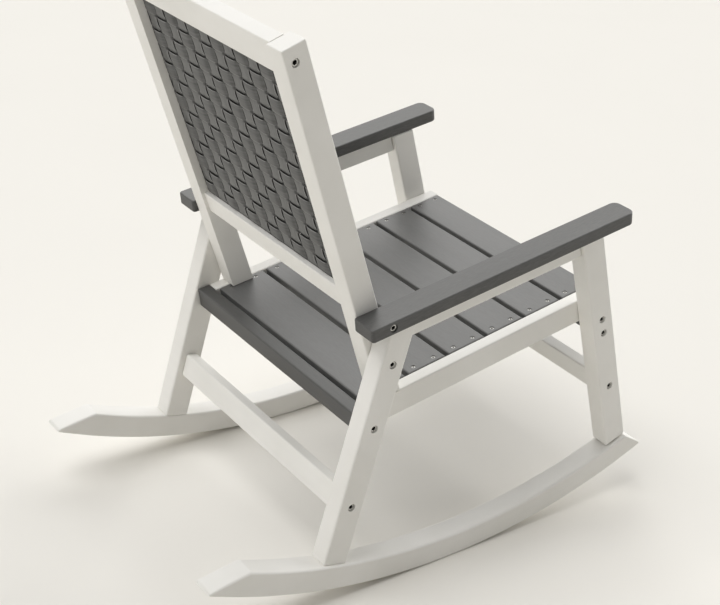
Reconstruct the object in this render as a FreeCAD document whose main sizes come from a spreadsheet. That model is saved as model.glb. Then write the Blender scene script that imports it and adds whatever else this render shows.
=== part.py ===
import FreeCAD, Part
import math
import os
import Sketcher
from FreeCAD import Placement, Rotation, Vector

doc = FreeCAD.newDocument("rocking_chair")
sheet = doc.addObject("Spreadsheet::Sheet", "Sizes")

# Driving sizes in millimetres and degrees; front is -Y, the occupant's left is +X
SIZES = {
    # Frame widths and the clearance left between pieces that touch
    "frame_inside": 516, "leg_thick": 39, "edge_round": 4, "edge_ease": 2.5, "fit": 0.2,
    # Rockers: sole radius, depth, half length, and the bevels that thin each end to a blunt tip
    "rocker_sole_radius": 1224, "rocker_depth": 48, "rocker_thick": 45, "rocker_reach": 499,
    "rear_bevel": 68, "front_bevel": 32, "rocker_tip": 5, "balance_reach": 8,
    # Legs stand on the rockers and lean towards each other
    "front_leg_width": 50, "front_leg_lean": 18.9, "front_foot_reach": 430,
    "rear_leg_width": 50, "rear_leg_lean": 12.4, "rear_foot_reach": 242,
    # Seat plane, its side rails with a ledge for the slats, and the boards at both ends
    "seat_pitch": 10.8, "seat_front_reach": 355.6, "seat_front_height": 458.5,
    "side_rail_height": 48, "side_rail_strip": 26, "ledge_width": 20, "slat_thick": 20,
    "front_slat_width": 72, "slat_width": 81.5, "rear_slat_width": 98, "slat_gap": 8, "slat_round": 3,
    "rear_board_thick": 26, "rear_board_height": 38,
    "front_board_width": 38, "front_board_thick": 24, "front_board_lead": 8,
    # Armrests and the rails under them
    "arm_length": 580, "arm_width": 53, "arm_thick": 24, "arm_pitch": 10.1, "arm_rear_reach": 221,
    "arm_rear_height": 537.3, "arm_front_corner": 14, "arm_rear_corner": 6,
    "arm_rail_height": 36, "arm_rail_thick": 24,
    # Stretchers between the legs
    "stretcher_height": 46, "stretcher_thick": 24,
    "front_stretcher_level": 262.8, "rear_stretcher_level": 187.8,
    # Back: stiles, two rails and the woven panel held in their grooves
    "stile_thick": 41, "stile_depth": 44.5, "stile_recline": 20.8, "stile_length": 690,
    "stile_foot_reach": 148.5, "back_rail_depth": 27, "back_rail_recess": 6, "panel_recess": 16,
    "lower_rail_rise": 184, "lower_rail_height": 41, "top_rail_height": 54, "top_rail_drop": 3,
    "strap_thick": 2, "upright_width": 27.5, "cross_width": 29.6, "weave_clear": 0.3,
    "groove_depth": 8, "groove_play": 0.4, "strap_end_play": 1,
    # Bolts in counterbores
    "bolt_head": 14, "bolt_head_height": 7, "bolt_socket": 7, "bolt_socket_depth": 4.2, "bolt_sink": 1,
    "hole_play": 0.8, "top_bolt_inset": 18, "rail_bolt_drop": 34, "board_bolt_drop": 66, "arm_bolt_lead": 12,
}
UPRIGHTS = 11
CROSSES = 12
SIDES = {"left": 1, "right": -1}

aliases = []


def store(alias, number):
    """Write one plain number into the sheet under its alias."""
    aliases.append(alias)
    sheet.set("A%d" % len(aliases), alias)
    sheet.set("B%d" % len(aliases), repr(float(number)))
    sheet.setAlias("B%d" % len(aliases), alias)


for alias, number in SIZES.items():
    store(alias, number)
doc.recompute()


def size(text):
    """The value of an expression over the sheet's aliases, written with plain names."""
    result = sheet.evalExpression(text)
    return float(getattr(result, "Value", result))


def bound(text):
    """The same expression with each alias led by the sheet's name, as features outside it need."""
    words = []
    word = ""
    for letter in text + " ":
        if letter.isalnum() or letter == "_":
            word += letter
            continue
        words.append("Sizes." + word if word in aliases else word)
        words.append(letter)
        word = ""
    return "".join(words).strip()


# Points and lines of the side view, as (y, z)
def rocker_top(y):
    """Height and slope angle of the rocker's upper face at y, under the middle of a leg's foot."""
    radius = size("rocker_sole_radius - rocker_depth")
    run = y + size("balance_reach")
    drop = math.sqrt(radius ** 2 - run ** 2)
    return size("rocker_sole_radius") - drop, math.degrees(math.atan2(run, drop))


def foot_lift(width):
    """How far a flat foot of that width stands over the hollow of the rocker's upper face."""
    return size(width) ** 2 / 8 / size("rocker_sole_radius - rocker_depth") + size("fit")


def meet(point, angle, other, other_angle):
    """Distance from point, along angle from +Y, to the line through other at other_angle."""
    ay, az = math.cos(math.radians(angle)), math.sin(math.radians(angle))
    by, bz = math.cos(math.radians(other_angle)), math.sin(math.radians(other_angle))
    dy, dz = other[0] - point[0], other[1] - point[1]
    return (dy * bz - dz * by) / (ay * bz - az * by)


def along(point, angle, distance):
    """The point at a distance from another, along an angle from +Y."""
    return (point[0] + distance * math.cos(math.radians(angle)),
            point[1] + distance * math.sin(math.radians(angle)))


SEAT = -size("seat_pitch")
ARM = -size("arm_pitch")
FRONT_LEG = 90 - size("front_leg_lean")
REAR_LEG = 90 + size("rear_leg_lean")
STILE = 90 - size("stile_recline")
seat_front = (-size("seat_front_reach"), size("seat_front_height"))
arm_rear = (size("arm_rear_reach"), size("arm_rear_height"))
arm_under = along(arm_rear, ARM - 90, size("arm_thick + fit"))

front_foot = (-size("front_foot_reach"), 0)
front_rise, front_slope = rocker_top(front_foot[0])
front_foot = (front_foot[0], front_rise + foot_lift("front_leg_width"))
rear_foot = (size("rear_foot_reach"), 0)
rear_rise, rear_slope = rocker_top(rear_foot[0])
rear_foot = (rear_foot[0], rear_rise + foot_lift("rear_leg_width"))
store("front_leg_length", meet(front_foot, FRONT_LEG, arm_under, ARM))
store("front_foot_cut", front_slope - FRONT_LEG + 90)
store("front_top_cut", ARM - FRONT_LEG + 90)
store("rear_leg_length", meet(rear_foot, REAR_LEG, arm_under, ARM))
store("rear_foot_cut", rear_slope - REAR_LEG + 90)
store("rear_top_cut", ARM - REAR_LEG + 90)

# Stile foot: on the side rail's top, measured at the stile's centre line
stile_seat = along(seat_front, SEAT + 90, size("fit"))
stile_run = (size("stile_foot_reach") - stile_seat[0]) / math.cos(math.radians(SEAT))
stile_foot = along(stile_seat, SEAT, stile_run)
stile_foot = along(stile_foot, SEAT, -size("stile_depth / 2") / math.cos(math.radians(SEAT - STILE + 90)))
store("stile_foot_cut", SEAT - STILE + 90)

# Seat run from the front edge of the front slat to the rear face of the rear board
slat_starts = [0.0]
slat_widths = ["front_slat_width"] + ["slat_width"] * 4 + ["rear_slat_width"]
for name in slat_widths:
    slat_starts.append(slat_starts[-1] + size(name + " + slat_gap"))
board_start = slat_starts.pop()
store("side_rail_length", board_start - size("fit"))
store("seat_length", board_start + size("rear_board_thick"))

# Bolt stations along each leg, from its foot
front_bolt_runs = []
for drop in ("rail_bolt_drop", "board_bolt_drop"):
    front_bolt_runs.append(meet(front_foot, FRONT_LEG, along(seat_front, SEAT - 90, size(drop)), SEAT))
front_bolt_runs.append(meet(front_foot, FRONT_LEG, (0, size("front_stretcher_level")), 0))
rear_board_mid = along(seat_front, SEAT - 90, size("rear_board_height / 2"))
rear_bolt_runs = [meet(rear_foot, REAR_LEG, (0, size("rear_stretcher_level")), 0)]
rear_bolt_runs.append(meet(rear_foot, REAR_LEG, rear_board_mid, SEAT))
rear_bolt_runs.append(meet(rear_foot, REAR_LEG, stile_foot, STILE))
for i, place in enumerate(("upper", "middle", "lower")):
    store("front_%s_bolt" % place, front_bolt_runs[i])
    store("rear_%s_bolt" % place, rear_bolt_runs[-1 - i])
arm_mid = along(arm_rear, ARM - 90, size("arm_thick / 2"))
arm_bolt_station = meet(arm_mid, ARM + 180, stile_foot, STILE) + size("arm_bolt_lead")
arm_bolt_point = along(arm_mid, ARM + 180, arm_bolt_station)
store("arm_bolt_run", arm_bolt_station)

# Arm rails: from the front leg's rear face to the rear leg's front face
front_face = along(front_foot, FRONT_LEG - 90, size("front_leg_width / 2 + fit"))
rear_face = along(rear_foot, REAR_LEG + 90, size("rear_leg_width / 2 + fit"))
arm_rail_front = along(arm_under, ARM, meet(arm_under, ARM, front_face, FRONT_LEG))
store("arm_rail_top", meet(arm_rail_front, ARM, rear_face, REAR_LEG))
store("arm_rail_front_cut", -1 / math.tan(math.radians(FRONT_LEG - ARM)))
store("arm_rail_rear_cut", -1 / math.tan(math.radians(REAR_LEG - ARM)))

# Half widths, measured from the middle of the chair
store("inside", size("frame_inside / 2"))
store("slat_half", size("frame_inside / 2 - side_rail_strip - fit"))
store("back_half", size("frame_inside / 2 - stile_thick - fit"))
store("panel_bottom", size("lower_rail_rise + lower_rail_height"))
store("panel_top", size("stile_length - top_rail_drop - top_rail_height"))

# Panel: its distance behind the stile's centre line, and half the width of the groove that holds the straps
store("panel_plane", size("stile_depth / 2 - panel_recess"))
store("groove_half", size("strap_thick + weave_clear / 2 + groove_play"))
store("top_bolt", size("stile_length - top_rail_drop - top_rail_height / 2"))
doc.recompute()


# Feature helpers
def plane_of(body, role):
    """One of the body's own origin planes."""
    return next(f for f in body.Origin.OriginFeatures if f.Role == role)


def new_body(label):
    body = doc.addObject("PartDesign::Body", label)
    body.Label = label
    return body


def new_sketch(body, name, role, offset="0"):
    """A sketch on an origin plane of the body, moved off it along the plane's normal."""
    sketch = body.newObject("Sketcher::SketchObject", name)
    sketch.AttachmentSupport = [(plane_of(body, role), "")]
    sketch.MapMode = "FlatFace"
    if offset != "0":
        sketch.setExpression("AttachmentOffset.Base.z", bound(offset))
    return sketch


def pin_point(sketch, geometry, end, x, y):
    """Tie a sketch point's two coordinates to expressions."""
    for kind, text in (("DistanceX", x), ("DistanceY", y)):
        index = sketch.addConstraint(Sketcher.Constraint(kind, -1, 1, geometry, end, size(text)))
        sketch.setExpression("Constraints[%d]" % index, bound(text))


def polygon(sketch, corners):
    """A closed outline of straight lines whose corners are pairs of expressions."""
    points = [Vector(size(x), size(y), 0) for x, y in corners]
    for start, end in zip(points, points[1:] + points[:1]):
        sketch.addGeometry(Part.LineSegment(start, end), False)
    for i in range(len(points)):
        sketch.addConstraint(Sketcher.Constraint("Coincident", i, 2, (i + 1) % len(points), 1))
    for i, (x, y) in enumerate(corners):
        pin_point(sketch, i, 1, x, y)


def circles(sketch, centres, diameter):
    """Equal circles at pairs of expressions."""
    for x, y in centres:
        middle = Vector(size(x), size(y), 0)
        index = sketch.addGeometry(Part.Circle(middle, Vector(0, 0, 1), size(diameter) / 2), False)
        pin_point(sketch, index, 3, x, y)
        round_ = sketch.addConstraint(Sketcher.Constraint("Diameter", index, size(diameter)))
        sketch.setExpression("Constraints[%d]" % round_, bound(diameter))


def pad(body, sketch, length, middle=False):
    feature = body.newObject("PartDesign::Pad", "Pad")
    feature.Profile = sketch
    feature.setExpression("Length", bound(length))
    feature.Midplane = middle
    doc.recompute()
    return feature


def pocket(body, sketch, depth, along_normal):
    """Cut a sketch into the body and check that material went."""
    before = body.Shape.Volume
    feature = body.newObject("PartDesign::Pocket", "Pocket")
    feature.Profile = sketch
    feature.setExpression("Length", bound(depth))
    feature.Reversed = along_normal
    doc.recompute()
    if body.Shape.Volume > before - 1:
        raise ValueError(body.Label + ": a pocket removed nothing")
    return feature


def soften(body, feature, chosen, radius):
    """Round the edges of a feature that a test picks."""
    names = ["Edge%d" % (i + 1) for i, edge in enumerate(feature.Shape.Edges) if chosen(edge)]
    fillet = body.newObject("PartDesign::Fillet", "Fillet")
    fillet.Base = (feature, names)
    fillet.setExpression("Radius", bound(radius))
    doc.recompute()
    return fillet


def ease(body, feature, chosen, width):
    """Break the edges of a feature that a test picks with a small flat."""
    names = ["Edge%d" % (i + 1) for i, edge in enumerate(feature.Shape.Edges) if chosen(edge)]
    chamfer = body.newObject("PartDesign::Chamfer", "Chamfer")
    chamfer.Base = (feature, names)
    chamfer.setExpression("Size", bound(width))
    doc.recompute()
    return chamfer


def runs_along(axis):
    """A test for straight edges parallel to an axis."""
    def chosen(edge):
        if edge.Curve.TypeId != "Part::GeomLine":
            return False
        return abs(abs(edge.Curve.Direction.dot(axis)) - 1) < 1e-6
    return chosen


def turn(angle):
    """Rotation about X that leans a side-view piece, whose own Z points up, to an angle from +Y."""
    return Rotation(Vector(1, 0, 0), angle - 90)


ALONG_X, ALONG_Y, ALONG_Z = Vector(1, 0, 0), Vector(0, 1, 0), Vector(0, 0, 1)


def outer_face(side, thick):
    """Offset of a side piece's outer face from its own inner or outer origin plane."""
    return thick if side > 0 else "0"


def counterbores(body, offset, centres, along_normal):
    """Round seats for bolt heads in an outer face."""
    sketch = new_sketch(body, "Counterbores", "YZ_Plane", offset)
    circles(sketch, centres, "bolt_head + hole_play")
    pocket(body, sketch, "bolt_head_height + bolt_sink", along_normal)


# Rockers: two arcs about one centre, closed at each end by a flat bevel and a blunt tip
def is_arc(edge):
    """A test for curved edges."""
    return edge.Curve.TypeId == "Part::GeomCircle"


def rocker(name, side):
    body = new_body("rocker_" + name)
    sketch = new_sketch(body, "Outline", "YZ_Plane")
    sole = ("rocker_sole_radius", "-rocker_reach", "rocker_reach")
    upper = ("rocker_sole_radius - rocker_depth", "front_bevel - rocker_reach", "rocker_reach - rear_bevel")
    centre = Vector(-size("balance_reach"), size("rocker_sole_radius"), 0)
    for i, (radius, low, high) in enumerate((sole, upper)):
        angles = [-math.acos((size(y) + size("balance_reach")) / size(radius)) for y in (low, high)]
        sketch.addGeometry(Part.ArcOfCircle(Part.Circle(centre, ALONG_Z, size(radius)), *angles), False)
        pin_point(sketch, i, 3, "-balance_reach", "rocker_sole_radius")
        index = sketch.addConstraint(Sketcher.Constraint("Radius", i, size(radius)))
        sketch.setExpression("Constraints[%d]" % index, bound(radius))
        for end, y in ((1, low), (2, high)):
            index = sketch.addConstraint(Sketcher.Constraint("DistanceX", -1, 1, i, end, size(y)))
            sketch.setExpression("Constraints[%d]" % index, bound(y))
    for end in (1, 2):
        low, high = sketch.getPoint(0, end), sketch.getPoint(1, end)
        corner = low + Vector(0, size("rocker_tip"), 0)
        tip = sketch.addGeometry(Part.LineSegment(low, corner), False)
        bevel = sketch.addGeometry(Part.LineSegment(corner, high), False)
        for first, one, second, two in ((0, end, tip, 1), (tip, 2, bevel, 1), (bevel, 2, 1, end)):
            sketch.addConstraint(Sketcher.Constraint("Coincident", first, one, second, two))
        sketch.addConstraint(Sketcher.Constraint("Vertical", tip))
        index = sketch.addConstraint(Sketcher.Constraint("DistanceY", tip, 1, tip, 2, size("rocker_tip")))
        sketch.setExpression("Constraints[%d]" % index, bound("rocker_tip"))
    block = pad(body, sketch, "rocker_thick")
    ease(body, block, is_arc, "edge_ease")
    start = size("inside") if side > 0 else -size("inside + rocker_thick")
    body.Placement = Placement(Vector(start, 0, 0), Rotation())
    return body


# Legs: straight bars with both ends cut to what they meet, bolted through from outside
def leg(name, side, kind, foot, angle, stations):
    body = new_body("%s_leg_%s" % (kind, name))
    half = kind + "_leg_width / 2"
    low = "%s * tan(%s_foot_cut * 1 deg)" % (half, kind)
    high = "%s * tan(%s_top_cut * 1 deg)" % (half, kind)
    length = kind + "_leg_length"
    sketch = new_sketch(body, "Outline", "YZ_Plane")
    polygon(sketch, [("-" + half, "-" + low), (half, low),
                     (half, "%s + %s" % (length, high)), ("-" + half, "%s - %s" % (length, high))])
    bar = pad(body, sketch, "leg_thick")
    soften(body, bar, runs_along(ALONG_Z), "edge_round")
    counterbores(body, outer_face(side, "leg_thick"), [("0", station) for station in stations], side < 0)
    start = size("inside") if side > 0 else -size("inside + leg_thick")
    body.Placement = Placement(Vector(start, foot[0], foot[1]), turn(angle))
    return body


# Side rails: a strip level with the slats and a ledge that carries their ends
def outer_run(edge):
    """A test for the long edges on a side rail's outer face."""
    return runs_along(ALONG_Y)(edge) and abs(edge.CenterOfMass.x) < 0.01


def side_rail(name, side):
    body = new_body("seat_side_rail_" + name)
    sketch = new_sketch(body, "Section", "XZ_Plane")
    inward = "-" if side > 0 else ""
    strip, ledge = "side_rail_strip", "side_rail_strip + ledge_width"
    step = "-(slat_thick + fit)"
    polygon(sketch, [("0", "0"), (inward + strip, "0"), (inward + strip, step),
                     ("%s(%s)" % (inward, ledge), step), ("%s(%s)" % (inward, ledge), "-side_rail_height"),
                     ("0", "-side_rail_height")])
    bar = pad(body, sketch, "side_rail_length")
    bar.Reversed = True
    doc.recompute()
    ease(body, bar, outer_run, "edge_ease")
    start = size("inside - fit") * side
    body.Placement = Placement(Vector(start, *seat_front), turn(SEAT + 90))
    return body


# Seat slats: flat boards with rounded long edges, let in between the rails' strips
def slat(index):
    body = new_body("seat_slat_%d" % (index + 1))
    width = slat_widths[index]
    sketch = new_sketch(body, "Outline", "XY_Plane")
    polygon(sketch, [("-slat_half", "0"), ("slat_half", "0"), ("slat_half", width), ("-slat_half", width)])
    board = pad(body, sketch, "slat_thick")
    board.Reversed = True
    doc.recompute()
    soften(body, board, runs_along(ALONG_X), "slat_round")
    front = along(seat_front, SEAT, slat_starts[index])
    body.Placement = Placement(Vector(0, *front), turn(SEAT + 90))
    return body


# Boards and stretchers that run across between the legs
def cross_board(label, corners, place):
    body = new_body(label)
    sketch = new_sketch(body, "Section", "YZ_Plane")
    polygon(sketch, corners)
    bar = pad(body, sketch, "frame_inside - 2 * fit", True)
    ease(body, bar, runs_along(ALONG_X), "edge_ease")
    body.Placement = place
    return body


def block_section(width, height):
    """Corners of a rectangle about the origin."""
    w, h = width + " / 2", height + " / 2"
    return [("-" + w, "-" + h), (w, "-" + h), (w, h), ("-" + w, h)]


# Armrests: flat boards with rounded corners, laid on the legs and bolted to the stile from the side
def arm_corner(in_front):
    """A test for the corner edges at an arm's front or rear end, with the rear end at the origin."""
    def chosen(edge):
        return runs_along(ALONG_Z)(edge) and (edge.CenterOfMass.y < -1) == in_front
    return chosen


def lies_flat(edge):
    """A test for edges of an arm's upper and lower faces."""
    return edge.BoundBox.ZLength < 0.01


def armrest(name, side):
    body = new_body("armrest_" + name)
    sketch = new_sketch(body, "Outline", "XY_Plane")
    outer = "arm_width" if side > 0 else "-arm_width"
    polygon(sketch, [("0", "0"), (outer, "0"), (outer, "-arm_length"), ("0", "-arm_length")])
    board = pad(body, sketch, "arm_thick")
    board.Reversed = True
    doc.recompute()
    front = soften(body, board, arm_corner(True), "arm_front_corner")
    rear = soften(body, front, arm_corner(False), "arm_rear_corner")
    ease(body, rear, lies_flat, "edge_ease")
    counterbores(body, outer, [("-arm_bolt_run", "-arm_thick / 2")], side < 0)
    body.Placement = Placement(Vector(size("inside + fit") * side, *arm_rear), turn(ARM + 90))
    return body


# Rails under the arms, between the legs
def lower_run(edge):
    """A test for the long lower edges of an arm rail."""
    box = edge.BoundBox
    return box.XLength < 0.01 and box.ZLength < 0.01 and edge.CenterOfMass.z < -1


def arm_rail(name, side):
    body = new_body("arm_rail_" + name)
    sketch = new_sketch(body, "Outline", "YZ_Plane")
    polygon(sketch, [("0", "0"), ("arm_rail_top", "0"),
                     ("arm_rail_top + arm_rail_height * arm_rail_rear_cut", "-arm_rail_height"),
                     ("arm_rail_height * arm_rail_front_cut", "-arm_rail_height")])
    bar = pad(body, sketch, "arm_rail_thick")
    ease(body, bar, lower_run, "edge_ease")
    inset = size("(leg_thick - arm_rail_thick) / 2")
    start = size("inside") + inset if side > 0 else -size("inside + leg_thick") + inset
    body.Placement = Placement(Vector(start, *arm_rail_front), turn(ARM + 90))
    return body


# Back stiles: reclined bars standing on the side rails, grooved on the inside for the woven panel
def stile_edge(edge):
    """A test for a stile's long edges and for the front and rear edges of its top."""
    at_top = edge.CenterOfMass.z > size("stile_length") - 0.01
    return runs_along(ALONG_Z)(edge) or (at_top and edge.BoundBox.YLength < 0.01)


def stile(name, side):
    body = new_body("back_stile_" + name)
    half = "stile_depth / 2"
    low = half + " * tan(stile_foot_cut * 1 deg)"
    sketch = new_sketch(body, "Outline", "YZ_Plane")
    polygon(sketch, [("-" + half, "-" + low), (half, low),
                     (half, "stile_length"), ("-" + half, "stile_length")])
    bar = pad(body, sketch, "stile_thick")
    soften(body, bar, stile_edge, "edge_round")
    outer = "0" if side < 0 else "stile_thick"
    inner = "stile_thick" if side < 0 else "0"
    groove = new_sketch(body, "Groove", "YZ_Plane", inner)
    near, far = "panel_plane - groove_half", "panel_plane + groove_half"
    polygon(groove, [(near, "panel_bottom"), (far, "panel_bottom"),
                     (far, "panel_top"), (near, "panel_top")])
    pocket(body, groove, "groove_depth", side > 0)
    counterbores(body, outer, [("stile_depth / 2 - top_bolt_inset", "top_bolt")], side < 0)
    start = size("inside - stile_thick - fit") if side > 0 else -size("inside - fit")
    body.Placement = Placement(Vector(start, *stile_foot), turn(STILE))
    return body


# Back rails: set in a little from the stiles' rear faces, grooved along the edge that faces the panel
def back_rail(label, base, height, groove_at_top):
    body = new_body(label)
    sketch = new_sketch(body, "Section", "YZ_Plane")
    far = "stile_depth / 2 - back_rail_recess"
    near = far + " - back_rail_depth"
    top = "%s + %s" % (base, height)
    polygon(sketch, [(near, base), (far, base), (far, top), (near, top)])
    bar = pad(body, sketch, "2 * back_half", True)
    ease(body, bar, runs_along(ALONG_X), "edge_ease")
    groove = new_sketch(body, "Groove", "XY_Plane", top if groove_at_top else base)
    low, high = "panel_plane - groove_half", "panel_plane + groove_half"
    polygon(groove, [("-back_half", low), ("back_half", low), ("back_half", high), ("-back_half", high)])
    pocket(body, groove, "groove_depth", not groove_at_top)
    body.Placement = Placement(Vector(0, *stile_foot), turn(STILE))
    return body


# Woven panel: flat straps that pass over and under each other, each a thin zigzag band
def band(levels, pitch, flat, tail):
    """Side outline of one strap: level runs over or under each crossing, joined by short ramps."""
    thick = size("strap_thick")
    lift = (thick + size("weave_clear")) / 2
    count = len(levels)
    middle = []
    for i, level in enumerate(levels):
        centre = (i - (count - 1) / 2) * pitch
        reach_low = tail if i == 0 else flat / 2
        reach_high = tail if i == count - 1 else flat / 2
        middle.append((centre - reach_low, level * lift))
        middle.append((centre + reach_high, level * lift))
    upper = [Vector(u, 0, v + thick / 2) for u, v in middle]
    lower = [Vector(u, 0, v - thick / 2) for u, v in reversed(middle)]
    return Part.makePolygon(upper + lower + upper[:1])


def woven_panel():
    """All cross straps and all uprights, in the panel's own X and Z, with Y to the rear."""
    wide = 2 * size("back_half")
    tall = size("panel_top - panel_bottom")
    pitch_x, pitch_z = wide / UPRIGHTS, tall / CROSSES
    grip = size("groove_depth - strap_end_play")
    upright, cross = size("upright_width"), size("cross_width")
    crosses, uprights = [], []
    for r in range(CROSSES):
        levels = [1 if (r + c) % 2 else -1 for c in range(UPRIGHTS)]
        outline = band(levels, pitch_x, upright + 2 * size("weave_clear"), pitch_x / 2 + grip)
        face = Part.Face(outline)
        face.rotate(Vector(), ALONG_X, -90)
        solid = face.extrude(Vector(0, 0, cross))
        solid.translate(Vector(0, 0, size("panel_bottom") + (r + 0.5) * pitch_z - cross / 2))
        crosses.append(solid)
    for c in range(UPRIGHTS):
        levels = [-1 if (r + c) % 2 else 1 for r in range(CROSSES)]
        outline = band(levels, pitch_z, cross + 2 * size("weave_clear"), pitch_z / 2 + grip)
        face = Part.Face(outline)
        face.rotate(Vector(), ALONG_X, -90)
        face.rotate(Vector(), ALONG_Y, -90)
        solid = face.extrude(Vector(upright, 0, 0))
        x = (c - (UPRIGHTS - 1) / 2) * pitch_x - upright / 2
        solid.translate(Vector(x, 0, size("(panel_bottom + panel_top) / 2")))
        uprights.append(solid)
    return crosses, uprights


def strap_node(label, solids):
    node = doc.addObject("Part::Feature", label)
    node.Label = label
    node.Shape = Part.makeCompound(solids)
    inset = along(stile_foot, STILE - 90, size("panel_plane"))
    node.Placement = Placement(Vector(0, *inset), turn(STILE))
    return node


# Bolts: round heads with a hexagon socket, set in the counterbores
def bolt_head():
    """A head along X, its face at the origin and its seat on +X."""
    tall = size("bolt_head_height")
    head = Part.makeCylinder(size("bolt_head / 2"), tall, Vector(), ALONG_X)
    corner = size("bolt_socket") / math.sqrt(3)
    angles = [k * math.pi / 3 for k in range(7)]
    hexagon = Part.makePolygon([Vector(0, corner * math.cos(a), corner * math.sin(a)) for a in angles])
    return head.cut(Part.Face(hexagon).extrude(Vector(size("bolt_socket_depth"), 0, 0)))


def bolts(name, side):
    """The eight heads of one side: three in each leg, one in the armrest, one near the top of the stile."""
    leg_face = size("inside + leg_thick")
    places = [(leg_face, along(front_foot, FRONT_LEG, run)) for run in front_bolt_runs]
    places += [(leg_face, along(rear_foot, REAR_LEG, run)) for run in rear_bolt_runs]
    places.append((size("inside + fit + arm_width"), arm_bolt_point))
    stile_point = along(stile_foot, STILE, size("top_bolt"))
    stile_point = along(stile_point, STILE - 90, size("stile_depth / 2 - top_bolt_inset"))
    places.append((size("inside - fit"), stile_point))
    solids = []
    for face, point in places:
        head = bolt_head()
        if side > 0:
            head.rotate(Vector(), ALONG_Z, 180)
        head.translate(Vector(side * (face - size("bolt_sink")), *point))
        solids.append(head)
    node = doc.addObject("Part::Feature", "bolts_" + name)
    node.Label = "bolts_" + name
    node.Shape = Part.makeCompound(solids)
    return node


parts = []
for name, side in SIDES.items():
    parts.append(rocker(name, side))
    for kind, foot, angle in (("front", front_foot, FRONT_LEG), ("rear", rear_foot, REAR_LEG)):
        stations = ["%s_%s_bolt" % (kind, place) for place in ("upper", "middle", "lower")]
        parts.append(leg(name, side, kind, foot, angle, stations))
    parts.append(side_rail(name, side))
    parts.append(armrest(name, side))
    parts.append(arm_rail(name, side))
    parts.append(stile(name, side))
    parts.append(bolts(name, side))
for index in range(len(slat_widths)):
    parts.append(slat(index))
seat_turn = turn(SEAT + 90)
board_at = along(seat_front, SEAT, board_start)
rear_board_corners = [("0", "0"), ("rear_board_thick", "0"), ("rear_board_thick", "-rear_board_height"),
                      ("0", "-rear_board_height")]
board_mid = along(seat_front, SEAT - 90, size("side_rail_height + fit + front_board_thick / 2"))
front_board_point = along(front_foot, FRONT_LEG, meet(front_foot, FRONT_LEG, board_mid, SEAT))
front_board_point = along(front_board_point, SEAT + 180, size("front_board_lead"))
parts.append(cross_board("rear_seat_board", rear_board_corners, Placement(Vector(0, *board_at), seat_turn)))
parts.append(cross_board("front_seat_board", block_section("front_board_width", "front_board_thick"),
                         Placement(Vector(0, *front_board_point), seat_turn)))
for label, foot, angle, run in (("front_stretcher", front_foot, FRONT_LEG, front_bolt_runs[2]),
                                ("rear_stretcher", rear_foot, REAR_LEG, rear_bolt_runs[0])):
    place = Placement(Vector(0, *along(foot, angle, run)), turn(angle))
    parts.append(cross_board(label, block_section("stretcher_thick", "stretcher_height"), place))
parts.append(back_rail("back_lower_rail", "lower_rail_rise", "lower_rail_height", True))
parts.append(back_rail("back_top_rail", "panel_top", "top_rail_height", False))
cross_straps, upright_straps = woven_panel()
parts.append(strap_node("woven_cross_straps", cross_straps))
parts.append(strap_node("woven_upright_straps", upright_straps))
doc.recompute()

for item in doc.Objects:
    if "Invalid" in item.State or "Error" in item.State:
        raise ValueError(item.Label + " did not compute")
for part in parts:
    if part.Shape.isNull() or not part.Shape.isValid():
        raise ValueError(part.Label + " has no valid shape")
os.makedirs("parts", exist_ok=True)
for part in parts:
    part.Shape.exportStep("parts/%s.step" % part.Label)
print(len(parts), "parts")
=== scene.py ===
import math
import bpy
import numpy as np
from mathutils import Matrix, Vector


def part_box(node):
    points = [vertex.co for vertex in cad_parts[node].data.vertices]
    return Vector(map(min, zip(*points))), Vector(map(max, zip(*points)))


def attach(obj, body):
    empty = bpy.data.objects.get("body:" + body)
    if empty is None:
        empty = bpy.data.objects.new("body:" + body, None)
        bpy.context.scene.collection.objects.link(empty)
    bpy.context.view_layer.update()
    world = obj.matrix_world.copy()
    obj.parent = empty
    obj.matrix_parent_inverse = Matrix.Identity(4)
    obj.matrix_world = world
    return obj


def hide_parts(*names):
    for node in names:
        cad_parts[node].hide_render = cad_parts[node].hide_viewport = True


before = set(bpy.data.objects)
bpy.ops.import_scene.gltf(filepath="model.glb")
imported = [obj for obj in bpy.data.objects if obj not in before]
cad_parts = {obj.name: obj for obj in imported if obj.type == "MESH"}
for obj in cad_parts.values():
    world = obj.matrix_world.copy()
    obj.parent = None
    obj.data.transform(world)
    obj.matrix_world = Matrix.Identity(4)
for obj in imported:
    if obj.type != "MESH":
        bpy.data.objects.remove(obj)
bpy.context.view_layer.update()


# Rockers: two curved runners of off-white plastic lumber, sawn from a thick board to one arc,
# with the ends cut down in a long bevel and every edge routed round. The chair stands on them.
def srgb(code):
    """Linear colour of an sRGB hex code: the standard curve, a power of 2.4 above its short straight foot."""
    parts = np.array([int(code[i:i + 2], 16) for i in (1, 3, 5)]) / 255
    linear = np.where(parts <= 0.04045, parts / 12.92, ((parts + 0.055) / 1.055) ** 2.4)
    return (*linear.tolist(), 1.0)


def node(tree, kind, settings=None, **inputs):
    """Adds a shader node: settings are its own properties, inputs are numbers or outputs to link."""
    made = tree.nodes.new("ShaderNode" + kind)
    for key, value in (settings or {}).items():
        setattr(made, key, value)
    for key, value in inputs.items():
        place = made.inputs[int(key[1:])] if key[0] == "_" else made.inputs[key.replace("_", " ")]
        if isinstance(value, bpy.types.NodeSocket):
            tree.links.new(value, place)
        else:
            place.default_value = value
    return made


def blank_material(name):
    """A material with an empty tree but for the surface shader and its output."""
    material = bpy.data.materials.new(name)
    material.use_nodes = True
    tree = material.node_tree
    tree.nodes.clear()
    surface = node(tree, "BsdfPrincipled")
    node(tree, "OutputMaterial", Surface=surface.outputs["BSDF"])
    return material, tree, surface


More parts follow.
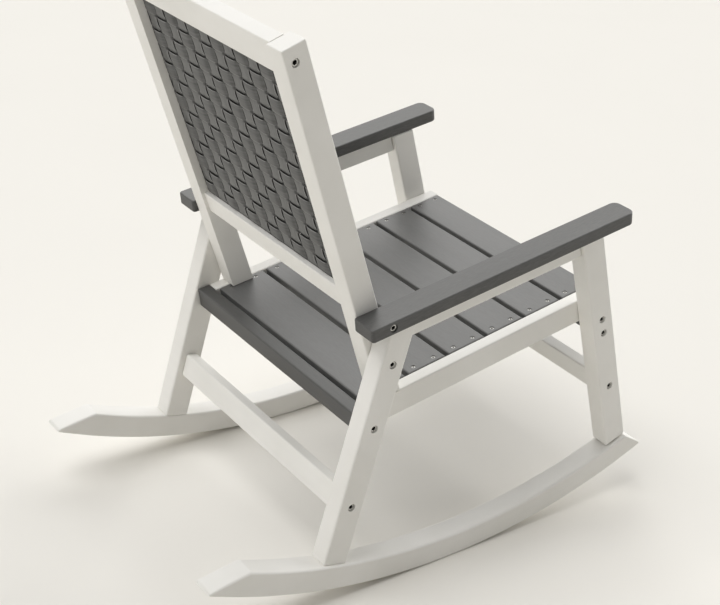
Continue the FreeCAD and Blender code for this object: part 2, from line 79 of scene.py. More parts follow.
# Satin white plastic lumber: a smooth milled skin over neutral white, faintly cloudy, with a fine orange
# peel that breaks the edge highlights. The peel is really about 1 mm across and is drawn at 3 mm so that
# it can be seen.
CLOUD_SIZE = 0.12
PEEL_SIZE = 0.003
PLASTIC_IOR = 1.52
satin_white, tree, surface = blank_material("milled_satin_white_plastic_lumber")
place = node(tree, "TexCoord").outputs["Object"]
cloud = node(tree, "TexNoise", Vector=place, Scale=1 / CLOUD_SIZE, Detail=3.0, Roughness=0.5)
tone = node(tree, "ValToRGB", Fac=cloud.outputs["Fac"])
tone.color_ramp.elements[0].position, tone.color_ramp.elements[0].color = 0.3, srgb("#E9E7E1")
tone.color_ramp.elements[1].position, tone.color_ramp.elements[1].color = 0.7, srgb("#F0EEE9")
peel = node(tree, "TexNoise", Vector=place, Scale=1 / PEEL_SIZE, Detail=2.0)
gloss = node(tree, "MapRange", Value=cloud.outputs["Fac"], To_Min=0.42, To_Max=0.56)
skin_relief = node(tree, "Bump", Height=peel.outputs["Fac"], Strength=0.06, Distance=0.001)
tree.links.new(tone.outputs["Color"], surface.inputs["Base Color"])
tree.links.new(gloss.outputs["Result"], surface.inputs["Roughness"])
tree.links.new(skin_relief.outputs["Normal"], surface.inputs["Normal"])
surface.inputs["IOR"].default_value = PLASTIC_IOR

X, Y, Z = range(3)
SIDES = ("left", "right")
CORNER_STEPS = 5
CREASE = math.radians(40)


def joined(*parts):
    """The parts side by side on a last axis, each stretched to the grid that they share."""
    return np.stack(np.broadcast_arrays(*parts), -1)


def rounded_rectangle(half_wide, half_tall, radius, steps=CORNER_STEPS):
    """Outline of a rectangle with round corners: each corner's centre plus radius times (cos, sin) of a
    quarter turn. The sizes may be columns, which gives one outline a row."""
    quarter = np.linspace(0, np.pi / 2, steps + 1)
    angle = np.concatenate([quarter + k * np.pi / 2 for k in range(4)])
    right, up = np.repeat([1, -1, -1, 1], steps + 1), np.repeat([1, 1, -1, -1], steps + 1)
    return joined(right * (half_wide - radius) + radius * np.cos(angle),
                  up * (half_tall - radius) + radius * np.sin(angle))


def skin(name, *shapes):
    """One object of closed surfaces, each over rings of points (rings, round, xyz): quads join neighbouring
    rings, a flat face caps each end, and all faces are turned to point away from the shape's middle. Edges
    sharper than the crease angle stay crisp."""
    points, faces = [], []
    for rings in shapes:
        rows, around = rings.shape[:2]
        spots = rings.reshape(-1, 3)
        index = np.arange(rows * around).reshape(rows, around)
        beside = np.roll(index, -1, 1)
        quads = np.stack([index[:-1], beside[:-1], beside[1:], index[1:]], -1).reshape(-1, 4)
        caps = [index[0, ::-1], index[-1]]
        a, b, c, d = (spots[quads[:, k]] - spots.mean(0) for k in range(4))
        if np.sum(a * np.cross(b, c)) + np.sum(a * np.cross(c, d)) < 0:
            quads, caps = quads[:, ::-1], [cap[::-1] for cap in caps]
        start = sum(len(p) for p in points)
        faces += (quads + start).tolist() + [(cap + start).tolist() for cap in caps]
        points.append(spots)
    mesh = bpy.data.meshes.new(name)
    mesh.from_pydata(np.concatenate(points).tolist(), [], faces)
    mesh.shade_smooth()
    mesh.set_sharp_from_angle(angle=CREASE)
    piece = bpy.data.objects.new(name, mesh)
    bpy.context.scene.collection.objects.link(piece)
    return piece


def finish_piece(piece, material, slot, *stands_for):
    """Gives a piece its material and its place in the frame, with normals that keep its flat faces flat."""
    piece.data.materials.append(material)
    flat = piece.modifiers.new("Flat faces", "WEIGHTED_NORMAL")
    flat.keep_sharp = True
    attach(piece, "root")
    if stands_for:
        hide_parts(*stands_for)


def corners_of(cad_node):
    """Places of a CAD node's corners, one row each."""
    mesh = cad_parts[cad_node].data
    spots = np.empty(len(mesh.vertices) * 3)
    mesh.vertices.foreach_get("co", spots)
    return spots.reshape(-1, 3)


SOLE_RADIUS = 1.224
ROCKER_DEPTH = 0.048
ROCKER_TIP = 0.005
REAR_BEVEL = 0.068
FRONT_BEVEL = 0.032
BEVEL_SWELL = 0.15
ROCKER_EDGE = 0.0045
LEAST_ROCKER_EDGE = 0.0004
TIP_EDGE_SHARE = 0.4
END_RINGS = np.array([0, 0.25, 0.6, 1])
END_TURN = 0.02
ROCKER_RINGS = 60


def rocker(side):
    """Rounded rectangles carried along the sole's arc: the outer radius is the sole, the inner one is the
    depth above it, and within each bevel's length the inner one runs out, with a slight swell, to the blunt
    tip. The arc's lowest point is taken at the CAD mesh's lowest corner, about 7 mm before the true one."""
    spots = corners_of("rocker_" + side)
    low, high = spots.min(0), spots.max(0)
    lowest = spots[np.argmin(spots[:, Z]), Y]
    swing = np.arcsin((np.array([low[Y], high[Y]]) - lowest) / SOLE_RADIUS)
    ends = END_RINGS * ROCKER_EDGE
    run = np.unique(np.concatenate([
        swing[0] + ends / SOLE_RADIUS, swing[1] - ends / SOLE_RADIUS,
        np.linspace(swing[0] + END_TURN, swing[1] - END_TURN, ROCKER_RINGS),
        [swing[0] + FRONT_BEVEL / SOLE_RADIUS, swing[1] - REAR_BEVEL / SOLE_RADIUS]]))
    from_front, from_rear = (run - swing[0]) * SOLE_RADIUS, (swing[1] - run) * SOLE_RADIUS
    share = np.minimum(np.minimum(from_front / FRONT_BEVEL, from_rear / REAR_BEVEL), 1)
    depth = ROCKER_TIP + (ROCKER_DEPTH - ROCKER_TIP) * share * (1 + BEVEL_SWELL * (1 - share))
    near = np.clip(np.minimum(from_front, from_rear) / ROCKER_EDGE, 0, 1)
    inset = ROCKER_EDGE * (1 - np.sqrt(1 - (1 - near) ** 2))[:, None]
    radius = np.minimum(ROCKER_EDGE, depth[:, None] * TIP_EDGE_SHARE)
    section = rounded_rectangle((high[X] - low[X]) / 2 - inset, depth[:, None] / 2 - inset,
                                np.maximum(radius - inset, LEAST_ROCKER_EDGE))
    reach = SOLE_RADIUS - depth[:, None] / 2 - section[..., 1]
    return joined((low[X] + high[X]) / 2 + section[..., 0], lowest + reach * np.sin(run)[:, None],
                  SOLE_RADIUS - reach * np.cos(run)[:, None])


for side in SIDES:
    finish_piece(skin("curved_rocker_" + side, rocker(side)), satin_white, "white_lumber", "rocker_" + side)


# Legs: straight off-white boards from the rockers up to the armrests, the front pair leaning back and the
# rear pair leaning forward. Each is sawn to the rocker's slope and the arm's, edge-routed, and drilled for
# three bolts.
FRONT_LEAN = math.radians(-18.9)
REAR_LEAN = math.radians(12.4)
BOARD_EDGE = 0.004
LEAST_EDGE = 1e-5
SIDE_PLAY = 1e-4
BOLT_HOLE = 0.0074
BOLT_DEPTH = 0.0092
BOLTS_APART = 0.03
BOLT_PLUG_OUT = 0.02
BOLT_PLUG_FACETS = 40


def turned(points, tilt):
    """The points turned about the X axis, Y towards Z, by the tilt."""
    x, y, z = np.moveaxis(points, -1, 0)
    return joined(x, y * math.cos(tilt) - z * math.sin(tilt), y * math.sin(tilt) + z * math.cos(tilt))


def round_ends(radius):
    """How far in and how far along the rings of a board's two ends lie: a quarter circle at each end, from
    its flat face, which is drawn in by the radius, to the full outline."""
    theta = np.linspace(0, np.pi / 2, CORNER_STEPS + 1)
    inset = radius * np.concatenate([1 - np.sin(theta), 1 - np.sin(theta[::-1])])[:, None]
    trim = radius * np.concatenate([1 - np.cos(theta), np.cos(theta[::-1]) - 1])[:, None]
    return inset, trim


def board(cad_node, tilt, across, thick, along, edge, end_edge=None):
    """A board with all its edges round, where the CAD node lies: a rounded rectangle carried along the board,
    its outline drawn in by a quarter circle at both ends. Each end is cut on the slope that the node's two
    sides show. The edge is one radius, or four for the corners (+, +), (-, +), (-, -) and (+, -) of across
    and thick."""
    spots = turned(corners_of(cad_node), -tilt)
    low, high = spots.min(0), spots.max(0)
    middle, half = (low + high) / 2, (high - low) / 2
    one_side = spots[spots[:, across] < low[across] + SIDE_PLAY, along]
    other_side = spots[spots[:, across] > high[across] - SIDE_PLAY, along]
    inset, trim = round_ends(end_edge or np.max(edge))
    radius = np.maximum(np.repeat(np.broadcast_to(edge, 4), CORNER_STEPS + 1) - inset, LEAST_EDGE)
    section = rounded_rectangle(half[across] - inset, half[thick] - inset, radius)
    share = (section[..., 0] + half[across]) / (2 * half[across])
    near_end = one_side.min() + (other_side.min() - one_side.min()) * share
    far_end = one_side.max() + (other_side.max() - one_side.max()) * share
    rings = np.empty(section.shape[:2] + (3,))
    rings[..., across] = middle[across] + section[..., 0]
    rings[..., thick] = middle[thick] + section[..., 1]
    rings[..., along] = np.where(np.arange(len(section))[:, None] <= CORNER_STEPS, near_end, far_end) + trim
    return turned(rings, tilt)


def bolt_places(side):
    """Lowest and highest corner of each bolt head of one side: the CAD node's corners are sorted into heads
    by nearness, seen along X."""
    spots = corners_of("bolts_" + side)
    heads = []
    while len(spots):
        mine = np.hypot(*(spots - spots[0])[:, Y:].T) < BOLTS_APART
        heads.append((spots[mine].min(0), spots[mine].max(0)))
        spots = spots[~mine]
    return heads


def outer_face(side, low, high):
    """X of a box's outer face on one side of the chair, and the sign of the way out from it."""
    return (high[X], 1) if side == "left" else (low[X], -1)


def bolt_plug(side, low, high):
    """A round plug along X at a bolt head's box, from outside the piece's face in by the bolt's depth: two
    rings of a circle."""
    angle = np.linspace(0, 2 * np.pi, BOLT_PLUG_FACETS, endpoint=False)
    face, outward = outer_face(side, low, high)
    ends = np.array([face + BOLT_PLUG_OUT * outward, face - BOLT_DEPTH * outward])
    return skin("plug", joined(ends[:, None], (low[Y] + high[Y]) / 2 + BOLT_HOLE * np.cos(angle),
                               (low[Z] + high[Z]) / 2 + BOLT_HOLE * np.sin(angle)))


def bore(piece, plugs):
    """Cuts the plugs out of a piece and keeps the result as its mesh."""
    for plug in plugs:
        cut = piece.modifiers.new("Bore", "BOOLEAN")
        cut.operation, cut.solver, cut.object = "DIFFERENCE", "EXACT", plug
    ready = piece.evaluated_get(bpy.context.evaluated_depsgraph_get())
    bored = bpy.data.meshes.new_from_object(ready)
    bored.name = piece.name
    piece.modifiers.clear()
    piece.data = bored
    bored.shade_smooth()
    bored.set_sharp_from_angle(angle=CREASE)
    for plug in plugs:
        bpy.data.objects.remove(plug)
    return piece


def bores_in(cad_node, side):
    """Plugs for the bolt heads whose middles lie within the node's box."""
    low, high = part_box(cad_node)
    found = []
    for head_low, head_high in bolt_places(side):
        middle = (head_low + head_high) / 2
        if all(low[axis] < middle[axis] < high[axis] for axis in (X, Y, Z)):
            found.append(bolt_plug(side, head_low, head_high))
    return found


for side in SIDES:
    for end, lean in (("front", FRONT_LEAN), ("rear", REAR_LEAN)):
        leg = "%s_leg_%s" % (end, side)
        piece = skin("bolted_" + leg, board(leg, lean, Y, X, Z, BOARD_EDGE))
        finish_piece(bore(piece, bores_in(leg, side)), satin_white, "white_lumber", leg)


# Stretchers: two low off-white bars that tie the legs of the two sides together, one in front and one
# behind, each held by a bolt through the leg into its end.
STRETCHER_EDGE = 0.003
for end, lean in (("front", FRONT_LEAN), ("rear", REAR_LEAN)):
    bar = end + "_stretcher"
    piece = skin("low_" + bar, board(bar, lean, Z, Y, X, STRETCHER_EDGE))
    finish_piece(piece, satin_white, "white_lumber", bar)


# Seat side rails: off-white strips along both sides of the seat, level with the slats, with a rebate
# cut along the inner edge in which the slats' ends lie. They are bolted to the legs.
SEAT_TILT = math.radians(-10.8)
SLAT_DEPTH = 0.0202
STRIP = 0.026
RAIL_EDGE = 0.003
RAIL_CORNER_STEPS = 4


def rounded_outline(corners, radius):
    """A closed outline whose corners are arcs: each arc's centre lies on the corner's bisector, at the radius
    over the sine of its half angle, and the arc runs between the points where it touches the two sides."""
    before, after = np.roll(corners, 1, 0) - corners, np.roll(corners, -1, 0) - corners
    before, after = (v / np.linalg.norm(v, axis=1, keepdims=True) for v in (before, after))
    half = np.arccos(np.clip(np.einsum("ij,ij->i", before, after), -1, 1))[:, None] / 2
    bisector = (before + after) / np.linalg.norm(before + after, axis=1, keepdims=True)
    centre = corners + bisector * radius / np.sin(half)
    start = corners + before * radius / np.tan(half) - centre
    stop = corners + after * radius / np.tan(half) - centre
    share = np.linspace(0, 1, RAIL_CORNER_STEPS + 1)[None, :, None]
    sweep = np.pi - 2 * half[..., None]
    leaving, coming = np.sin((1 - share) * sweep), np.sin(share * sweep)
    arc = (start[:, None] * leaving + stop[:, None] * coming) / np.sin(sweep)
    return (centre[:, None] + arc).reshape(-1, 2)


def side_rail(side):
    """An L-shaped outline with round corners carried straight along the seat."""
    spots = turned(corners_of("seat_side_rail_" + side), -SEAT_TILT)
    low, high = spots.min(0), spots.max(0)
    outer, inner = (high[X], low[X]) if side == "left" else (low[X], high[X])
    strip_end = outer + np.sign(inner - outer) * STRIP
    step = high[Z] - SLAT_DEPTH
    shape = np.array([(outer, high[Z]), (strip_end, high[Z]), (strip_end, step), (inner, step),
                      (inner, low[Z]), (outer, low[Z])])
    outline = rounded_outline(shape, RAIL_EDGE)
    ends = np.array([low[Y], high[Y]])
    return turned(joined(outline[:, 0], ends[:, None], outline[:, 1]), SEAT_TILT)


for side in SIDES:
    rail = "seat_side_rail_" + side
    finish_piece(skin("rebated_" + rail, side_rail(side)), satin_white, "white_lumber", rail)


# Seat slats and the two boards under the seat's ends: grey plastic lumber, extruded with the colour right
# through and rolled with a shallow wood grain along the board. Round long edges; two screws hold each end
# of a slat.
# A grain mark is about 0.5 mm wide and 8 mm long on the real board. Here it is drawn larger, to show.
GRAIN_WIDE = 0.0022
GRAIN_LONG = 0.014
FIGURE_WIDE = 0.025
FIGURE_LONG = 0.3
FIGURE_SHARE = 0.5


def grained_grey(name, tilt, along, dark, light, relief_strength):
    """Grey lumber whose grain runs along one axis of a frame turned about X by the tilt."""
    material, tree, surface = blank_material(name)
    place = node(tree, "TexCoord").outputs["Object"]
    grain_scale = [1 / (GRAIN_LONG if axis == along else GRAIN_WIDE) for axis in (X, Y, Z)]
    figure_scale = [1 / (FIGURE_LONG if axis == along else FIGURE_WIDE) for axis in (X, Y, Z)]
    upright = node(tree, "Mapping", {"vector_type": "POINT"}, Vector=place, Rotation=(-tilt, 0, 0))
    lined = node(tree, "VectorMath", {"operation": "MULTIPLY"}, _0=upright.outputs["Vector"], _1=grain_scale)
    grain = node(tree, "TexNoise", Vector=lined.outputs["Vector"], Scale=1.0, Detail=2.0, Roughness=0.5)
    banded = node(tree, "VectorMath", {"operation": "MULTIPLY"}, _0=upright.outputs["Vector"],
                  _1=figure_scale)
    figure = node(tree, "TexNoise", Vector=banded.outputs["Vector"], Scale=1.0, Detail=2.0)
    both = node(tree, "Math", {"operation": "MULTIPLY_ADD"}, _0=figure.outputs["Fac"], _1=FIGURE_SHARE,
                _2=grain.outputs["Fac"])
    mean = node(tree, "Math", {"operation": "DIVIDE"}, _0=both.outputs["Value"], _1=1 + FIGURE_SHARE)
    tone = node(tree, "ValToRGB", Fac=mean.outputs["Value"])
    tone.color_ramp.elements[0].position, tone.color_ramp.elements[0].color = 0.34, srgb(dark)
    tone.color_ramp.elements[1].position, tone.color_ramp.elements[1].color = 0.66, srgb(light)
    rough = node(tree, "MapRange", Value=grain.outputs["Fac"], To_Min=0.36, To_Max=0.52)
    relief = node(tree, "Bump", Height=grain.outputs["Fac"], Strength=relief_strength, Distance=0.0006)
    tree.links.new(tone.outputs["Color"], surface.inputs["Base Color"])
    tree.links.new(rough.outputs["Result"], surface.inputs["Roughness"])
    tree.links.new(relief.outputs["Normal"], surface.inputs["Normal"])
    surface.inputs["IOR"].default_value = PLASTIC_IOR
    return material


# Rolled grey plastic lumber with the grain across the chair: almost even grey, with short marks a little
# lighter and darker than the base and a sheen at low angles.
cross_grain = grained_grey("rolled_grain_grey_plastic_lumber_across", SEAT_TILT, X, "#5A5A59", "#636362",
                           0.12)
SLAT_EDGE = 0.003
SLAT_COUNT = 6
SLATS = ["seat_slat_%d" % (number + 1) for number in range(SLAT_COUNT)]
SCREW_IN = 0.012
SCREW_SPREAD = 0.27
SCREW_HOLE = 0.0042
SCREW_DEPTH = 0.0022
SCREW_PLUG_OUT = 0.01
SCREW_FACETS = 24


def screw_places(slat):
    """The four screws of a slat, in the seat's turned frame: near both ends and spread about the slat's
    middle."""
    spots = turned(corners_of(slat), -SEAT_TILT)
    low, high = spots.min(0), spots.max(0)
    ends = np.array([low[X] + SCREW_IN, high[X] - SCREW_IN])
    spread = (low[Y] + high[Y]) / 2 + np.array([-1, 1]) * SCREW_SPREAD * (high[Y] - low[Y])
    x, y = np.meshgrid(ends, spread)
    return joined(x.ravel(), y.ravel(), high[Z])


def screw_plug(at):
    """A round plug square to the seat, from above its top to the screw hole's depth: two rings of a circle."""
    angle = np.linspace(0, 2 * np.pi, SCREW_FACETS, endpoint=False)
    levels = at[Z] + np.array([SCREW_PLUG_OUT, -SCREW_DEPTH])
    rings = joined(at[X] + SCREW_HOLE * np.cos(angle), at[Y] + SCREW_HOLE * np.sin(angle), levels[:, None])
    return skin("plug", turned(rings, SEAT_TILT))


for slat in SLATS:
    piece = skin("grained_" + slat, board(slat, SEAT_TILT, Y, Z, X, SLAT_EDGE))
    holes = [screw_plug(at) for at in screw_places(slat)]
    finish_piece(bore(piece, holes), cross_grain, "grey_lumber", slat)
# Rolled grey plastic lumber for the two end boards: the slats' lumber painted darker, as painted shade, with
# slightly deeper marks.
shaded_end_grain = grained_grey("rolled_grain_grey_plastic_lumber_shaded_ends", SEAT_TILT, X, "#3F3F3E", "#494948", 0.16)
for plank in ("rear_seat_board", "front_seat_board"):
    piece = skin("grained_" + plank, board(plank, SEAT_TILT, Y, Z, X, SLAT_EDGE))
    finish_piece(piece, shaded_end_grain, "grey_lumber", plank)


# Slat screws: stainless button heads, two at each end of every slat, driven just below the surface
# with a small hexagon socket in the middle, painted dark inside as painted shade.
SCREW_HEAD = 0.0038
SCREW_SOCKET = 0.0017
SCREW_SOCKET_DEPTH = 0.0012
SCREW_SIDE = 0.0012
SCREW_SUNK = 0.0010
STEEL_CLOUD = 0.0015
STEEL_ROUGH_SPAN = 0.06


def steel(name, light, dark, rough):
    """Steel of two near greys in small clouds, painted near black where the attribute socket is 1: painted
    shade inside a socket.
    """
    material, tree, surface = blank_material(name)
    place = node(tree, "TexCoord").outputs["Object"]
    cloud = node(tree, "TexNoise", Vector=place, Scale=1 / STEEL_CLOUD, Detail=2.0)
    tone = node(tree, "ValToRGB", Fac=cloud.outputs["Fac"])
    tone.color_ramp.elements[0].position, tone.color_ramp.elements[0].color = 0.3, srgb(dark)
    tone.color_ramp.elements[1].position, tone.color_ramp.elements[1].color = 0.7, srgb(light)
    hollow = node(tree, "Attribute", {"attribute_name": "socket"}).outputs["Fac"]
    # Painted shade: inside the socket the colour is mixed towards near black.
    seen = node(tree, "Mix", {"data_type": "RGBA"}, Factor=hollow, _6=tone.outputs["Color"],
                _7=srgb("#171615"))
    sheen = node(tree, "MapRange", Value=cloud.outputs["Fac"], To_Min=rough - STEEL_ROUGH_SPAN,
                 To_Max=rough + STEEL_ROUGH_SPAN)
    tree.links.new(seen.outputs[2], surface.inputs["Base Color"])
    tree.links.new(sheen.outputs["Result"], surface.inputs["Roughness"])
    surface.inputs["Metallic"].default_value = 1.0
    return material


# Stainless steel, tumbled: a soft bright grey that catches the sky on its rim.
tumbled_steel = steel("tumbled_stainless_steel", "#B4B3B0", "#9A9996", 0.36)
RIM_SHARE = 0.18
RIM_RINGS = 5
SOCKET_LIP = 1.12
SOCKET_LIP_DROP = 0.06
SOCKET_TAPER = 0.98
SOCKET_MIDDLE = 0.05
SOCKET_CONE = 1.1


def socket_head(radius, half_flats, socket_depth, side_depth, facets):
    """Rings of a turned head with a hexagon socket, as three arrays, two across the head and its level: up
    the side, over the round rim, in to the socket's lip, down its walls and to the middle. Socket rings
    follow a hexagon: half the size across flats over the cosine of the angle from the nearest flat's
    middle."""
    angle = np.linspace(0, 2 * np.pi, facets, endpoint=False)
    hexagon = half_flats / np.cos((angle + np.pi / 6) % (np.pi / 3) - np.pi / 6)
    rim = np.linspace(0, np.pi / 2, RIM_RINGS)
    bevel = radius * RIM_SHARE
    sizes = [radius * np.ones(facets)] + [radius - bevel + bevel * np.cos(t) * np.ones(facets) for t in rim]
    levels = [-side_depth] + [bevel * np.sin(t) - bevel for t in rim]
    sizes += [hexagon * SOCKET_LIP, hexagon, hexagon * SOCKET_TAPER, hexagon * SOCKET_MIDDLE]
    levels += [0, -SOCKET_LIP_DROP * radius, -socket_depth, -socket_depth * SOCKET_CONE]
    sizes, levels = np.array(sizes), np.array(levels)
    return sizes * np.cos(angle), sizes * np.sin(angle), np.broadcast_to(levels[:, None], sizes.shape)


def lay_heads(name, heads, material, *stands_for):
    """One object of many heads, each with the attribute socket 1 on its last two rings and 0 on the rest,
    which paints shade into the socket.
    """
    piece = skin(name, *heads)
    rows, around = heads[0].shape[:2]
    hollow = np.tile(np.repeat(np.arange(rows) >= rows - 2, around), len(heads)).astype(float)
    piece.data.attributes.new("socket", "FLOAT", "POINT").data.foreach_set("value", hollow)
    finish_piece(piece, material, "bolt_steel", *stands_for)


heads = []
wide, deep, level = socket_head(SCREW_HEAD, SCREW_SOCKET, SCREW_SOCKET_DEPTH, SCREW_SIDE, SCREW_FACETS)
for slat in SLATS:
    for at in screw_places(slat):
        heads.append(turned(joined(at[X] + wide, at[Y] + deep, at[Z] - SCREW_SUNK + level), SEAT_TILT))
lay_heads("slat_screws", heads, tumbled_steel)


# Arm rails: off-white bars under the armrests, let in between the front and rear legs,
# their ends sawn to the legs' slopes.
ARM_TILT = math.radians(-10.1)
ARM_RAIL_EDGE = 0.003
for side in SIDES:
    rail = "arm_rail_" + side
    piece = skin("sloped_" + rail, board(rail, ARM_TILT, Z, X, Y, ARM_RAIL_EDGE))
    finish_piece(piece, satin_white, "white_lumber", rail)


# Armrests: flat grey boards of the same grained plastic lumber, with rounded corners and edges,
# laid on the legs and the arm rails and bolted to the stiles from the side.
ARM_CORNER_FRONT = 0.014
ARM_CORNER_REAR = 0.006
ARM_CORNER_STEPS = 7
ARM_EDGE = 0.0025
# Rolled grey plastic lumber with the grain along the arm: darker than the slats, with the same marks turned
# to the board and pressed deeper.
arm_grain = grained_grey("rolled_grain_grey_plastic_lumber_arm", ARM_TILT, Y, "#3C3C3B", "#4E4E4D", 0.35)


def armrest(side):
    """The board's plan, a rectangle with round corners, carried through its thickness, drawn in by a quarter
    circle at the top and the bottom."""
    spots = turned(corners_of("armrest_" + side), -ARM_TILT)
    low, high = spots.min(0), spots.max(0)
    middle, half = (low + high) / 2, (high - low) / 2
    inset, trim = round_ends(ARM_EDGE)
    corner = np.repeat([ARM_CORNER_REAR, ARM_CORNER_REAR, ARM_CORNER_FRONT, ARM_CORNER_FRONT],
                       ARM_CORNER_STEPS + 1)
    plan = rounded_rectangle(half[X] - inset, half[Y] - inset, corner - inset, ARM_CORNER_STEPS)
    level = np.where(np.arange(len(plan))[:, None] <= CORNER_STEPS, low[Z], high[Z]) + trim
    return turned(joined(middle[X] + plan[..., 0], middle[Y] + plan[..., 1], level), ARM_TILT)


for side in SIDES:
    arm = "armrest_" + side
    piece = skin("grained_" + arm, armrest(side))
    finish_piece(bore(piece, bores_in(arm, side)), arm_grain, "grey_lumber", arm)


# Back frame: two reclined off-white stiles that stand on the seat's side rails, and two rails between them.
# A groove all round the opening holds the woven panel's straps. Here the boards are plain, and the straps'
# ends run into them out of sight.
RECLINE = math.radians(-20.8)
STILE_EDGE = 0.003
STILE_END = 0.002
BACK_RAIL_EDGE = 0.002
SEAM_EDGE = 0.0003
for side, edges in (("left", (STILE_EDGE, STILE_EDGE, SEAM_EDGE, SEAM_EDGE)),
                    ("right", (SEAM_EDGE, SEAM_EDGE, STILE_EDGE, STILE_EDGE))):
    stile = "back_stile_" + side
    piece = skin("reclined_" + stile, board(stile, RECLINE, Y, X, Z, edges, STILE_END))
    finish_piece(bore(piece, bores_in(stile, side)), satin_white, "white_lumber", stile)
for rail in ("back_lower_rail", "back_top_rail"):
    piece = skin("grooved_" + rail, board(rail, RECLINE, Z, Y, X, BACK_RAIL_EDGE, SEAM_EDGE))
    finish_piece(piece, satin_white, "white_lumber", rail)


# Woven panel: flat grey plastic straps, twelve upright and thirteen across, each going over one and under
# the next, their ends pushed into the frame's groove. The cross straps bend round the tight uprights, which
# are drawn wider where they change sides, a little into their neighbours, so that no daylight shows there;
# those widened parts are painted dark, painted shade in place of the gaps at the weave's corners.
UPRIGHTS = 12
CROSSES = 13
STRAP_THICK = 0.0018
UPRIGHT_WIDE = 0.0240
UPRIGHT_SPREAD = 0.0064
UPRIGHT_PALE = 0.2
CROSS_WIDE = 0.0284
UPRIGHT_LIFT = 0.0006
CROSS_LIFT = 0.0030
DIVE = 0.0014
WAVE_STEEP = 2
WEAVE_BOW = 0.0006
WEAVE_SETTLE = 0.012
WEAVE_DRIFT = 0.0004
DRIFT_BENDS = 9
DRIFT_PHASES = 6.28
TUCK = 0.007
TUCK_SHARE = 0.8
RINGS_PER_CROSSING = 12
STRAP_POINTS = 9
STRAP_EDGE_STEPS = 5
PATTERN_STEP = 7.3
STRAP_SHADE = -0.05
CORNER_SHADE = 0.45
CORNER_EDGE, CORNER_EDGE_SOFT = 0.8, 0.25
CORNER_WAVE, CORNER_WAVE_SOFT = 0.85, 0.4
GROOVE_SHADE = 0.4
GROOVE_SHADE_REACH = 0.005
WEAVE_SEED = 12

# Drawn plastic strap: matt grey with fine lines along its length, where the strap was pulled from the die.
# The lines are really hair fine and are drawn 4 mm apart. A painted highlight makes each strap paler along
# its edges, and the uprights are paler all over. Painted shade darkens a strap where its neighbours or the
# frame cover it and at the weave's corners. The patterns follow the strap by its own attributes.
LINE_APART = 0.004
LINE_LONG = 0.06
STRAP_IOR = 1.5
drawn_strap, tree, surface = blank_material("drawn_grey_plastic_strap")
place = node(tree, "Attribute", {"attribute_name": "strap"}).outputs["Vector"]
lined = node(tree, "VectorMath", {"operation": "MULTIPLY"}, _0=place, _1=(1 / LINE_LONG, 1 / LINE_APART, 1.0))
lines = node(tree, "TexNoise", Vector=lined.outputs["Vector"], Scale=1.0, Detail=2.0)
tone = node(tree, "ValToRGB", Fac=lines.outputs["Fac"])
tone.color_ramp.elements[0].position, tone.color_ramp.elements[0].color = 0.3, srgb("#454544")
tone.color_ramp.elements[1].position, tone.color_ramp.elements[1].color = 0.7, srgb("#5F5F5E")
wear = node(tree, "SeparateXYZ", Vector=node(tree, "Attribute", {"attribute_name": "wear"}).outputs["Vector"])
# Painted highlight: the strap's outer edges, and the whole of each upright, are mixed towards a paler grey.
painted_edge_highlight = node(tree, "MapRange", Value=wear.outputs["Y"], From_Min=0.86, From_Max=0.95)
highlight_and_pale = node(tree, "Math", {"operation": "ADD", "use_clamp": True}, _0=painted_edge_highlight.outputs["Result"],
            _1=wear.outputs["Z"])
paler = node(tree, "Mix", {"data_type": "RGBA"}, Factor=highlight_and_pale.outputs["Value"], _6=tone.outputs["Color"],
             _7=srgb("#858583"))
# Painted shade: where a neighbour or the frame covers the strap, and at the weave's corners, the colour goes
# near black.
covered = node(tree, "MapRange", {"interpolation_type": "SMOOTHSTEP"}, Value=wear.outputs["X"], From_Min=0.0,
               From_Max=0.42)
shaded = node(tree, "Mix", {"data_type": "RGBA"}, Factor=covered.outputs["Result"], _6=paler.outputs[2],
              _7=srgb("#181817"))
rough = node(tree, "MapRange", Value=lines.outputs["Fac"], To_Min=0.42, To_Max=0.58)
relief = node(tree, "Bump", Height=lines.outputs["Fac"], Strength=0.15, Distance=0.0005)
tree.links.new(shaded.outputs[2], surface.inputs["Base Color"])
tree.links.new(rough.outputs["Result"], surface.inputs["Roughness"])
tree.links.new(relief.outputs["Normal"], surface.inputs["Normal"])
surface.inputs["IOR"].default_value = STRAP_IOR

upright_spots = turned(corners_of("woven_upright_straps"), -RECLINE)
cross_spots = turned(corners_of("woven_cross_straps"), -RECLINE)
panel_depth = (cross_spots[:, Y].min() + cross_spots[:, Y].max()) / 2
opening_wide = np.array([cross_spots[:, X].max() - TUCK, cross_spots[:, X].min() + TUCK])
opening_tall = np.array([upright_spots[:, Z].max() - TUCK, upright_spots[:, Z].min() + TUCK])
hand_laid = np.random.default_rng(WEAVE_SEED)


def strap_section(width):
    """Outline of a flat strip with half-round edges: a row of points along the top, a half circle, the bottom
    row back, and the other half circle."""
    row = np.linspace(1, -1, STRAP_POINTS) * (width - STRAP_THICK) / 2
    turn = np.linspace(0, np.pi, STRAP_EDGE_STEPS)[1:-1] + np.pi / 2
    left = joined(row[-1] + np.cos(turn) * STRAP_THICK / 2, np.sin(turn) * STRAP_THICK / 2)
    top = joined(row, STRAP_THICK / 2)
    return np.concatenate([top, left, -top, -left])


def within(spots, opening):
    """How far inside the opening's two edges each spot lies."""
    return np.minimum(np.abs(spots - opening[0]), np.abs(opening[1] - spots))


